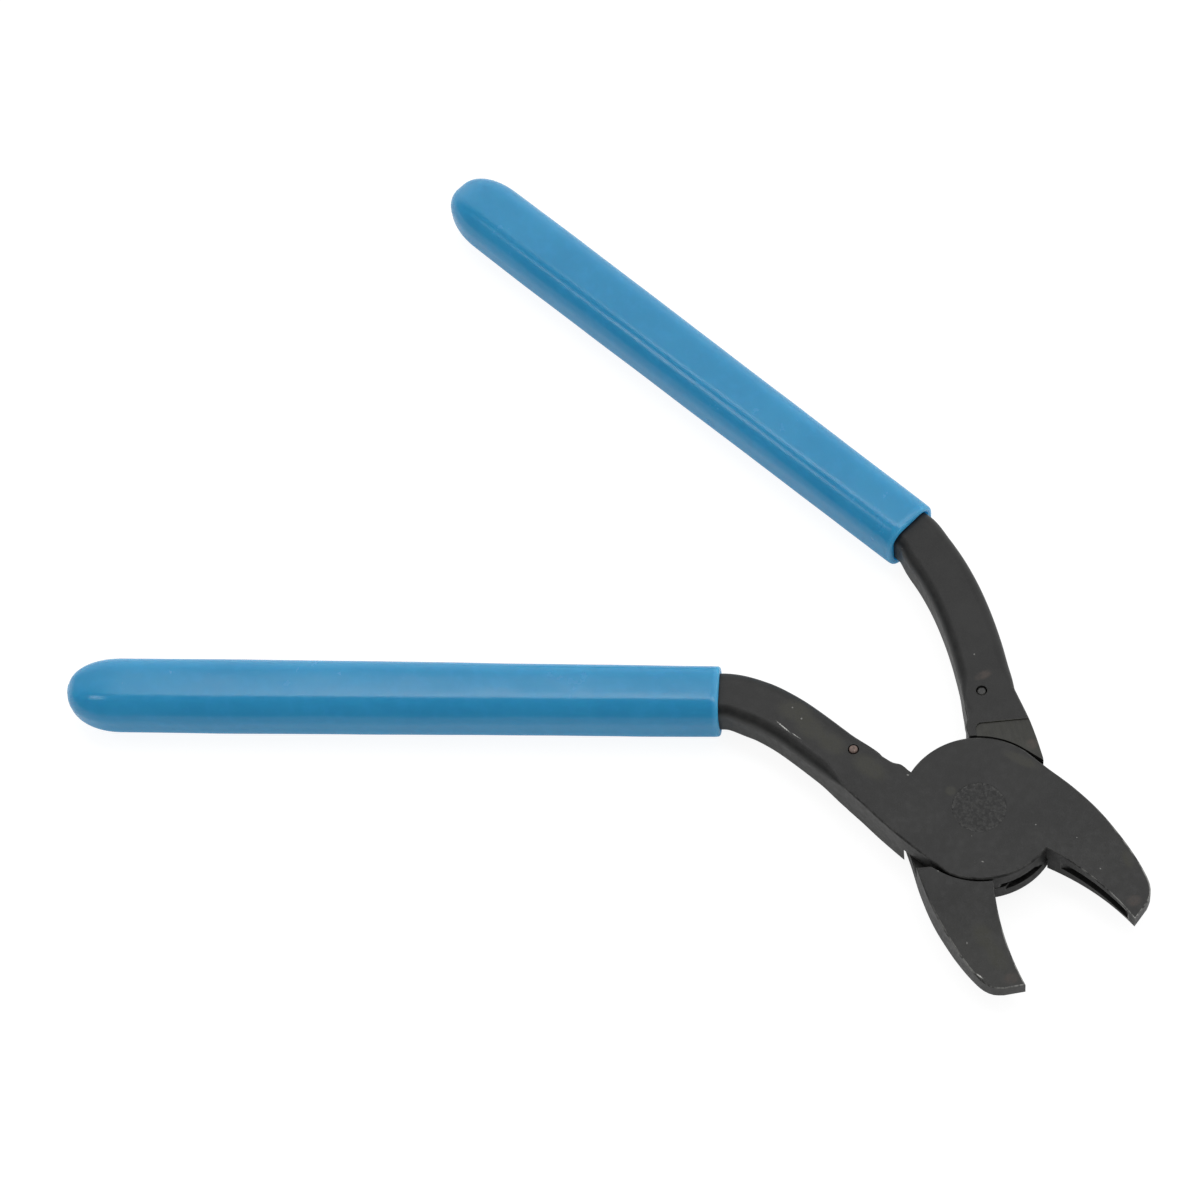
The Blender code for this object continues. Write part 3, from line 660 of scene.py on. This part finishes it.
# ------------------------------------------------------------ node shorthand
class Nodes:
    """Short calls for building the node tree of a material or a world."""

    def __init__(self, owner):
        self.owner = owner
        owner.use_nodes = True
        self.tree = owner.node_tree

    def put(self, kind, inputs=None, **settings):
        node = self.tree.nodes.new(kind)
        for key, value in settings.items():
            setattr(node, key, value)
        for key, value in (inputs or {}).items():
            self.set(node.inputs[key], value)
        return node

    def set(self, socket, value):
        if isinstance(value, bpy.types.NodeSocket):
            self.tree.links.new(value, socket)
        else:
            socket.default_value = value

    def finish(self, inputs):
        """Fill the Principled shader's inputs; gives back the material."""
        for key, value in inputs.items():
            self.set(self.tree.nodes["Principled BSDF"].inputs[key], value)
        return self.owner

    def math(self, operation, a, b=0.0, clamp=False):
        node = self.put("ShaderNodeMath", {0: a, 1: b}, operation=operation,
                        use_clamp=clamp)
        return node.outputs[0]

    def mul(self, a, b):
        return self.math("MULTIPLY", a, b)

    def plus(self, value, extra, weight):
        return self.math("ADD", value, self.mul(extra, weight))

    def minus(self, value, extra, weight):
        return self.math("SUBTRACT", value, self.mul(extra, weight))

    def ramp(self, value, over, to=(0.0, 1.0)):
        """Smooth step of value across `over`, to the values in `to`."""
        return self.put("ShaderNodeMapRange", {
            "Value": value, "From Min": over[0], "From Max": over[1],
            "To Min": to[0], "To Max": to[1]}, interpolation_type="SMOOTHSTEP").outputs["Result"]

    def mix(self, factor, first, second):
        first, second = (colour if isinstance(colour, bpy.types.NodeSocket)
                         else (*colour, 1.0) for colour in (first, second))
        return self.put("ShaderNodeMix", {"Factor": factor, "A": first, "B": second},
                        data_type="RGBA").outputs["Result"]

    def tint(self, base, mask, colour, amount=None):
        """Base turned to colour where the mask is 1, or by `amount` of it."""
        factor = mask if amount is None else self.mul(mask, amount)
        return self.mix(factor, base, colour)

    def mixf(self, factor, low, high):
        return self.put("ShaderNodeMix", {"Factor": factor, "A": low, "B": high},
                        data_type="FLOAT").outputs["Result"]

    def noise(self, vector, scale, detail=3.0, rough=0.6):
        return self.put("ShaderNodeTexNoise", {
            "Vector": vector, "Scale": scale, "Detail": detail,
            "Roughness": rough}).outputs["Fac"]

    def bump(self, strength, distance, height):
        return self.put("ShaderNodeBump", {"Strength": strength, "Distance": distance,
                                           "Height": height}).outputs["Normal"]

    def flecks(self, vector, scale, radius, above):
        """Dots in the Voronoi cells whose random value is over `above`."""
        cells = self.put("ShaderNodeTexVoronoi",
                         {"Vector": vector, "Scale": scale, "Randomness": 1.0}).outputs
        dot = self.math("LESS_THAN", cells["Distance"], radius)
        pick = self.put("ShaderNodeSeparateColor", {"Color": cells["Color"]}).outputs[0]
        return self.mul(dot, self.math("GREATER_THAN", pick, above))

    def coordinates(self, kind="Object"):
        return self.put("ShaderNodeTexCoord").outputs[kind]

    def axes(self, vector):
        return self.put("ShaderNodeSeparateXYZ", {"Vector": vector}).outputs

    def flat_mm(self, axes):
        """The x and y sockets in mm."""
        return self.mul(axes["X"], 1000.0), self.mul(axes["Y"], 1000.0)

    def lap_frame(self, rear):
        """Object coordinates turned back to the lap frame of the lever, in metres."""
        turn = (math.pi, 0.0, math.radians(-OPEN_DEG)) if rear else (0.0, 0.0, 0.0)
        lift = HALF * MM * (1 if rear else -1)
        return self.put("ShaderNodeMapping", {
            "Vector": self.coordinates(), "Rotation": turn,
            "Location": (0.0, 0.0, lift)}).outputs["Vector"]

    def shifted(self, vector, offset, stretch=(1.0, 1.0, 1.0), turn=0.0):
        return self.put("ShaderNodeMapping", {
            "Vector": vector, "Location": offset, "Rotation": (0.0, 0.0, turn),
            "Scale": stretch}).outputs["Vector"]

    def spot(self, x, y, row):
        """A soft elliptical mask for one row of a marks table."""
        centre_x, centre_y, half_u, half_v, turn_deg = row
        turn = math.radians(turn_deg)
        cos, sin = math.cos(turn), math.sin(turn)
        off_x = self.math("SUBTRACT", x, centre_x)
        off_y = self.math("SUBTRACT", y, centre_y)
        u = self.math("ADD", self.mul(off_x, cos / half_u), self.mul(off_y, sin / half_u))
        v = self.math("ADD", self.mul(off_x, -sin / half_v), self.mul(off_y, cos / half_v))
        square = self.math("ADD", self.mul(u, u), self.mul(v, v))
        return self.ramp(self.math("SQRT", square), over=(1.0, 0.4))

    def spots(self, x, y, rows):
        masks = [self.spot(x, y, row) for row in rows]
        value = masks[0]
        for mask in masks[1:]:
            value = self.math("ADD", value, mask, clamp=True)
        return value


def new_material(name):
    return Nodes(bpy.data.materials.new(name))


# ---------------------------------------------------------------- materials
# Marks on each lever's upper side, in the lap frame:
# (centre x, centre y, half length, half width in mm, turn in degrees)
FRONT_MARKS = {
    "olive_stain_and_sheen": [(-45.0, -5.0, 5.0, 3.2, 20), (-40.0, -6.3, 4.5, 3.2, 0),
              (-34.0, -6.5, 4.6, 3.0, 0), (-24.0, -6.2, 5.5, 3.0, 0),
              (0.5, 14.2, 5.5, 1.6, 10), (-7.0, -0.5, 1.5, 1.5, 0),
              (30.8, 9.6, 2.6, 1.6, -35)],
    "scratches_and_glint": [(-44.6, -9.55, 2.6, 0.20, -6), (-41.0, -9.62, 1.6, 0.10, 0)],
    "dots": [(-45.9, -4.7, 0.22, 0.22, 0), (-42.7, -5.65, 0.26, 0.26, 0),
             (11.7, 3.8, 0.20, 0.16, 40), (20.0, 6.7, 0.18, 0.12, 10),
             (27.7, 4.25, 0.22, 0.18, 0), (8.0, -9.6, 0.34, 0.16, 10),
             (-16.4, -2.9, 0.35, 0.2, 30)],
    # painted shade: near-black strips in the step where the handle's lower edge widens into the
    # head
    "dark": [(-22.6, -13.2, 0.9, 0.35, -60), (-20.6, -13.35, 2.6, 0.32, -14)],
    "rust": [(37.0, 3.0, 2.0, 1.5, 60)],
}
REAR_MARKS = {
    "olive_stain_and_sheen": [(27.8, 5.8, 3.6, 2.6, -20), (32.6, 4.2, 4.0, 2.4, -20),
              # the last olive mark is a painted highlight along the patch's step edge
              (-18.75, -9.2, 0.22, 6.2, 6)],
    # the first scratch mark is a painted glint on the pocket's rim by the relief step
    "scratches_and_glint": [(11.9, 11.3, 0.75, 0.30, 35), (35.8, 8.5, 1.1, 0.22, -40)],
    "dots": [(-35.8, -7.5, 0.22, 0.22, 0), (35.8, 8.45, 0.5, 0.2, -50),
             (30.3, 11.5, 0.4, 0.15, -30), (28.6, 9.4, 0.3, 0.14, 10)],
    # painted shade: a near-black strip along the handle's edge by the step into the head
    "dark": [(-24.5, -3.4, 3.2, 0.5, -6)],
    "rust": [(-30.4, -8.2, 2.6, 1.3, 75), (37.6, 2.4, 1.5, 2.0, 0),
             (-12.0, -14.2, 1.6, 1.6, 0)],
}


def steel_material(name, seed, rear, marks):
    """Black-oxide forged steel."""
    mat = new_material(name)
    mul, ramp, tint = mat.mul, mat.ramp, mat.tint
    coord = mat.lap_frame(rear)
    space = mat.shifted(coord, offset=(seed, seed * 0.7, seed * 0.3))
    axes = mat.axes(coord)
    x, y = mat.flat_mm(axes)
    z = mul(axes["Z"], -1000.0 if rear else 1000.0)     # mm, up from mid-thickness
    upper = ramp(z, over=(1.2, 1.8))
    slope = mat.axes(mat.put("ShaderNodeNewGeometry").outputs["Normal"])["Z"]

    def marked(kind):
        return mul(mat.spots(x, y, marks[kind]), upper)

    cloud = mat.noise(space, scale=130.0)
    mottle = mat.noise(space, scale=620.0, detail=4.0, rough=0.65)
    grain = mat.noise(space, scale=3800.0, rough=0.7)
    pits = mat.noise(mat.shifted(space, offset=(3.1, 1.7, 0.4)), scale=2300.0,
                     detail=2.0, rough=0.5)
    streak = mat.noise(mat.shifted(space, offset=(1.3, 0.2, 0.9), stretch=(0.25, 2.4, 1.0),
                                   turn=0.6), scale=900.0)

    # oxide skin
    base = mat.mix(ramp(cloud, over=(0.34, 0.68)),
                   (0.0055, 0.0056, 0.0056), (0.0125, 0.0125, 0.0121))
    base = tint(base, ramp(mottle, over=(0.42, 0.66)), amount=0.55,
                colour=(0.0185, 0.0183, 0.0174))
    base = tint(base, ramp(grain, over=(0.50, 0.72)), amount=0.40,
                colour=(0.0310, 0.0310, 0.0298))
    # a level just under the head's face, where the rear lever's patch shows
    milled_x = mul(ramp(x, over=(-8.0, -9.0)), ramp(x, over=(-20.2, -19.4)))
    milled = mul(ramp(z, over=(5.01, 4.94)), mul(ramp(z, over=(4.70, 4.77)), milled_x))
    milled = mul(milled, ramp(slope, over=(0.80, 0.95)))
    base = tint(base, mul(milled, ramp(streak, over=(0.25, 0.65), to=(0.55, 1.0))),
                colour=(0.0290, 0.0288, 0.0225))
    # paler towards the jaw's tip; on the handle's steep sides a painted reflection makes them
    # paler
    base = tint(base, ramp(x, over=(14.0, 30.0), to=(0.0, 0.34)),
                colour=(0.0320, 0.0320, 0.0302))
    if rear:
        base = tint(base, ramp(x, over=(20.0, 34.0), to=(0.0, 0.45)),
                    colour=(0.0440, 0.0440, 0.0405))
    # painted reflection: the handle's sides are painted paler the more their normal leans from
    # straight up, standing in for the bright floor they mirror
    painted_side_sheen = ramp(slope, over=(0.75, 0.25), to=(0.0, 0.90))
    base = tint(base, mul(painted_side_sheen, ramp(x, over=(0.0, -10.0))),
                colour=(0.0440, 0.0440, 0.0418))

    # placed stains, and painted light among them: the dark marks are painted shade in the steps
    # where the handles meet the head, and one olive mark is a painted highlight along the
    # patch's step edge
    # olive stains, plus the painted highlight along the rear patch's step edge
    olive_stain_and_sheen = mul(marked("olive_stain_and_sheen"), ramp(mottle, over=(0.30, 0.60), to=(0.45, 1.0)))
    base = tint(base, olive_stain_and_sheen, amount=0.75, colour=(0.0420, 0.0415, 0.0315))
    rust = mul(marked("rust"), ramp(mottle, over=(0.32, 0.62), to=(0.3, 1.0)))
    base = tint(base, rust, amount=0.65, colour=(0.0680, 0.0510, 0.0430))
    # painted shade: the dark marks, near black
    base = tint(base, marked("dark"), amount=0.8, colour=(0.0040, 0.0040, 0.0040))

    # bare metal: worn edges, flecks and scratches, with a painted glint among the scratch marks
    wear = mat.put("ShaderNodeAttribute", attribute_name="wear").outputs["Fac"]
    patchy = ramp(mat.noise(space, scale=260.0, detail=4.0, rough=0.7), over=(0.38, 0.56))
    near_tip = ramp(x, over=(16.0, 36.0), to=(0.15, 1.0))
    edge = mul(ramp(wear, over=(0.28, 0.75)), mul(patchy, near_tip))
    edge = mul(edge, ramp(streak, over=(0.35, 0.6), to=(0.5, 1.0)))
    fleck = mat.flecks(space, scale=260.0, radius=0.026, above=0.70)
    fleck = mat.math("ADD", fleck, marked("dots"), clamp=True)
    scratch_and_glint = mul(marked("scratches_and_glint"), ramp(grain, over=(0.34, 0.52)))
    edge_share, fleck_share = 0.85, 0.55
    # this mask also carries that painted glint
    bare = mat.math("MAXIMUM", mul(edge, edge_share), mul(fleck, fleck_share))
    bare = mat.math("MAXIMUM", bare, scratch_and_glint)
    base = tint(base, bare, colour=(0.34, 0.34, 0.325))

    rough = mat.mixf(ramp(mottle, over=(0.3, 0.7)), low=0.40, high=0.52)
    grain_middle, mottle_height, bare_metallic = 0.5, 0.35, 0.9
    rough = mat.plus(rough, mat.math("SUBTRACT", grain, grain_middle), weight=0.14)
    rough = mat.plus(rough, olive_stain_and_sheen, weight=0.06)
    rough = mat.mixf(bare, low=rough, high=0.34)

    height = mat.plus(mul(mottle, mottle_height), grain, weight=0.22)
    height = mat.minus(height, ramp(pits, over=(0.60, 0.74)), weight=0.30)
    height = mat.plus(height, streak, weight=0.12)
    height = mat.minus(height, scratch_and_glint, weight=0.4)
    return mat.finish({
        "Base Color": base,
        "Metallic": mul(bare, bare_metallic),
        "Roughness": rough,
        "IOR": 1.41,
        "Normal": mat.bump(strength=0.42, distance=0.00006, height=height)})


def rivet_material():
    mat = new_material("rivet_steel_peened")
    coord = mat.coordinates()
    x, y = mat.flat_mm(mat.axes(coord))
    radius = mat.math("SQRT", mat.math("ADD", mat.mul(x, x), mat.mul(y, y)))
    dimples = mat.put("ShaderNodeTexVoronoi",
                      {"Vector": coord, "Scale": 1500.0, "Randomness": 1.0},
                      feature="SMOOTH_F1")
    hammer = mat.ramp(dimples.outputs["Distance"], over=(0.1, 0.75))
    grain = mat.noise(coord, scale=2600.0, rough=0.65)
    blot = mat.noise(mat.shifted(coord, offset=(0.3, 0.6, 0.1)), scale=1250.0)
    base = mat.mix(hammer, (0.0035, 0.0035, 0.0036), (0.0110, 0.0110, 0.0106))
    base = mat.tint(base, mat.ramp(blot, over=(0.44, 0.58)), amount=0.85,
                    colour=(0.0260, 0.0260, 0.0246))
    # a paler ring near the rim
    ring = mat.mul(mat.ramp(radius, over=(4.90, 5.42)),
                   mat.ramp(blot, over=(0.42, 0.60), to=(0.05, 1.0)))
    ring = mat.mul(ring, mat.ramp(grain, over=(0.42, 0.58), to=(0.1, 1.0)))
    base = mat.tint(base, ring, amount=0.85, colour=(0.055, 0.055, 0.052))
    base = mat.tint(base, mat.ramp(grain, over=(0.58, 0.72)), amount=0.35,
                    colour=(0.035, 0.035, 0.033))
    hammer_height = 0.8
    height = mat.plus(mat.mul(hammer, hammer_height), grain, weight=0.4)
    return mat.finish({
        "Base Color": base,
        "Roughness": mat.mixf(hammer, low=0.40, high=0.56),
        "IOR": 1.40,
        "Normal": mat.bump(strength=0.5, distance=0.00009, height=height)})


def pin_material(name, dark, light):
    mat = new_material(name)
    coord = mat.coordinates()
    blot = mat.noise(coord, scale=1900.0)
    grain = mat.noise(coord, scale=7000.0, detail=2.0)
    return mat.finish({
        "Base Color": mat.mix(mat.ramp(blot, over=(0.40, 0.62)), dark, light),
        "Metallic": mat.ramp(blot, over=(0.35, 0.65), to=(0.1, 0.55)),
        "Roughness": mat.mixf(grain, low=0.36, high=0.6),
        "Normal": mat.bump(strength=0.4, distance=0.00004, height=grain)})


def vinyl_material(name, seed, grip, rear):
    mat = new_material(name)
    coord = mat.lap_frame(rear)
    space = mat.shifted(coord, offset=(seed, seed, seed))
    x, y = mat.flat_mm(mat.axes(coord))
    axis = polar(1.0, grip.heading)
    reach = mat.math("ADD", mat.mul(mat.math("SUBTRACT", x, grip.x), axis.x),
                     mat.mul(mat.math("SUBTRACT", y, grip.y), axis.y))
    cloud = mat.noise(space, scale=45.0, rough=0.55)
    skin = mat.noise(space, scale=320.0)
    fine = mat.noise(space, scale=2600.0, detail=2.0)
    base = mat.mix(mat.ramp(cloud, over=(0.35, 0.68)),
                   (0.0090, 0.2180, 0.4020), (0.0140, 0.2400, 0.4320))
    base = mat.tint(base, mat.ramp(skin, over=(0.45, 0.70)), amount=0.25,
                    colour=(0.0200, 0.2750, 0.5350))
    # paler at the lip and on the drip at the closed end
    base = mat.tint(base, mat.ramp(reach, over=(1.6, 0.2)), amount=0.45,
                    colour=(0.1100, 0.3900, 0.6200))
    drip = mat.ramp(reach, over=(grip.length - 2.2, grip.length + 0.4))
    base = mat.tint(base, drip, amount=0.30, colour=(0.1000, 0.3500, 0.5800))
    dust = mat.flecks(space, scale=150.0, radius=0.012, above=0.82)
    base = mat.tint(base, dust, amount=0.3, colour=(0.30, 0.50, 0.66))
    rough = mat.mixf(mat.ramp(skin, over=(0.3, 0.7)), low=0.185, high=0.250)
    rough = mat.plus(rough, mat.ramp(cloud, over=(0.45, 0.7)), weight=0.035)
    skin_height = 0.8
    height = mat.plus(mat.mul(skin, skin_height), fine, weight=0.05)
    return mat.finish({
        "Base Color": base,
        "Roughness": rough,
        "IOR": 1.50,
        # painted light: a faint blue glow stands in for light spreading through the translucent
        # vinyl
        "Emission Color": (0.02, 0.48, 1.0, 1.0),
        "Emission Strength": 0.105,
        "Subsurface Weight": 0.85,
        "Subsurface Radius": (0.6, 1.0, 1.2),
        "Subsurface Scale": 0.0035,
        "Normal": mat.bump(strength=0.16, distance=0.00025, height=height)})


def floor_material():
    """Pale paper, with its own colour and glow for the camera's rays."""
    mat = new_material("pale_floor")
    paper = mat.noise(mat.coordinates(), scale=900.0)
    seen = mat.put("ShaderNodeLightPath").outputs["Is Camera Ray"]
    unseen_colour = mat.mix(paper, (0.68, 0.68, 0.68), (0.72, 0.72, 0.72))
    seen_colour = mat.mix(paper, (0.20, 0.20, 0.20), (0.22, 0.22, 0.22))
    return mat.finish({
        "Base Color": mat.mix(seen, unseen_colour, seen_colour),
        "Roughness": mat.mixf(paper, low=0.85, high=0.95),
        "Specular IOR Level": 0.0,
        "Emission Color": (1.0, 1.0, 1.0, 1.0),
        "Emission Strength": mat.mixf(seen, low=0.25, high=0.90),
        "Normal": mat.bump(strength=0.1, distance=0.00005, height=paper)})


# --------------------------------------------------------------------- build
FRONT_PLACE = Matrix.Translation((0, 0, HALF * MM))
REAR_PLACE = (FRONT_PLACE @ Matrix.Rotation(math.radians(-OPEN_DEG), 4, "Z")
              @ Matrix.Rotation(math.pi, 4, "X"))


def place(obj, matrix, body, node, mat):
    obj.data.materials.clear()
    obj.data.materials.append(mat)
    obj.data.transform(matrix)
    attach(obj, body)
    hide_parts(node)


front = build_lever("lever_front_forging", FRONT_PATH, FRONT_GRIP, FRONT_ROOT, FRONT_PIN)
place(front, FRONT_PLACE, "front_half", "front_lever",
      steel_material("black_oxide_front", seed=0.0, rear=False, marks=FRONT_MARKS))
rear = build_lever("lever_rear_forging", REAR_PATH, REAR_GRIP, REAR_ROOT, REAR_PIN)
place(rear, REAR_PLACE, "rear_half", "rear_lever",
      steel_material("black_oxide_rear", seed=4.7, rear=True, marks=REAR_MARKS))

front_vinyl = build_grip("grip_front_dipped", FRONT_GRIP, seed=0.0, skew=(-1.15, 0.0),
                         nib=0.35)
place(front_vinyl, FRONT_PLACE, "front_half", "front_grip",
      vinyl_material("blue_vinyl_front", seed=0.0, grip=FRONT_GRIP, rear=False))
rear_vinyl = build_grip("grip_rear_dipped", REAR_GRIP, seed=5.3, skew=(0.3, 0.0), nib=0.7)
place(rear_vinyl, REAR_PLACE, "rear_half", "rear_grip",
      vinyl_material("blue_vinyl_rear", seed=2.1, grip=REAR_GRIP, rear=True))

place(build_rivet(), FRONT_PLACE, "front_half", "pivot_rivet",
      rivet_material())


def place_pin(name, at, top, matrix, body, node, mat):
    shift = Matrix.Translation((at[0] * MM, at[1] * MM, 0))
    place(build_pin(name, top), matrix @ shift, body, node, mat)


place_pin("pin_front_handle", FRONT_PIN, PIN_FACE + PIN_PROUD, FRONT_PLACE,
          "front_half", "front_pin",
          pin_material("pin_rusty", dark=(0.110, 0.074, 0.062), light=(0.185, 0.132, 0.112)))
place_pin("pin_rear_handle", REAR_PIN, PIN_FACE - PIN_SUNK, REAR_PLACE,
          "rear_half", "rear_pin",
          pin_material("pin_dark", dark=(0.030, 0.030, 0.030), light=(0.060, 0.060, 0.058)))

# --------------------------------------------------------------------- stage
TURN = math.radians(36.499)          # from the camera's level axes to the part's axes
AIM = (-90.0, 40.0)                  # level x, y that the lights face


def level(x, y, z):
    """A point in the camera's level axes (x right, y away, z up, mm from the
    pivot at mid-head) as a point of the frame."""
    return Vector(((x * math.cos(TURN) - y * math.sin(TURN)) * MM,
                   (x * math.sin(TURN) + y * math.cos(TURN)) * MM, (z + HALF) * MM))


def softbox(name, direction, distance, width, depth, radiance):
    """An even panel facing the tool, as bright as `radiance` in a mirror."""
    offset = Vector(direction).normalized() * distance
    at = level(AIM[0] + offset.x, AIM[1] + offset.y, offset.z)
    data = bpy.data.lights.new(name, "AREA")
    data.shape = "RECTANGLE"
    data.size, data.size_y = width * MM, depth * MM
    data.energy = radiance * math.pi * width * depth * MM * MM
    obj = new_object(name, data)
    obj.location = at
    obj.rotation_mode = "QUATERNION"
    obj.rotation_quaternion = (level(*AIM, 0.0) - at).to_track_quat("-Z", "Y")


softbox("top_softbox", direction=(0.08, 0.235, 0.96), distance=900.0,
        width=900.0, depth=220.0, radiance=2.8)
softbox("left_softbox", direction=(-0.65, -0.03, 0.76), distance=850.0,
        width=180.0, depth=200.0, radiance=4.0)

FLOOR_Z = -1.78
FLOOR_HALF = 30000.0
bm = bmesh.new()
bmesh.ops.create_grid(bm, x_segments=24, y_segments=24, size=FLOOR_HALF * MM)
floor = new_object("floor", mesh_of(bm, "floor"))
floor.location = (0, 0, FLOOR_Z * MM)
floor.data.materials.append(floor_material())


def build_world():
    """A room that glows on its far side and is dim on its near side."""
    world = bpy.data.worlds.new("studio")
    bpy.context.scene.world = world
    sky = Nodes(world)
    spin = sky.put("ShaderNodeMapping", {"Vector": sky.coordinates("Generated"),
                                         "Rotation": (0.0, 0.0, -TURN)})
    axes = sky.axes(spin.outputs["Vector"])
    # distance away, leaning a little to the right
    lean = 0.42
    away = sky.put("ShaderNodeMath", {0: axes["X"], 1: lean, 2: axes["Y"]},
                   operation="MULTIPLY_ADD").outputs["Value"]
    glow = sky.ramp(away, over=(-0.02, 0.36), to=(0.34, 1.12))
    seen = sky.put("ShaderNodeLightPath").outputs["Is Camera Ray"]
    background = sky.tree.nodes["Background"].inputs
    background["Color"].default_value = (1.0, 1.0, 1.0, 1.0)
    sky.set(background["Strength"], sky.mixf(seen, low=glow, high=1.0))


build_world()
bpy.context.scene.view_settings.view_transform = "Standard"

# -------------------------------------------------------------------- camera
EYE = Vector((171.238, -227.115, 588.416 + HALF)) * MM
RIGHT = Vector((0.760996, 0.639337, -0.110149))
ABOVE = Vector((-0.514786, 0.698408, 0.497214))

lens = bpy.data.cameras.new("camera")
lens.sensor_width = 36.0
lens.lens = 92.37
lens.clip_start, lens.clip_end = 0.01, 50.0
camera = new_object("camera", lens)
look = Matrix((RIGHT, ABOVE, RIGHT.cross(ABOVE))).transposed().to_4x4()
camera.matrix_world = Matrix.Translation(EYE) @ look
bpy.context.scene.camera = camera

bpy.context.view_layer.update()
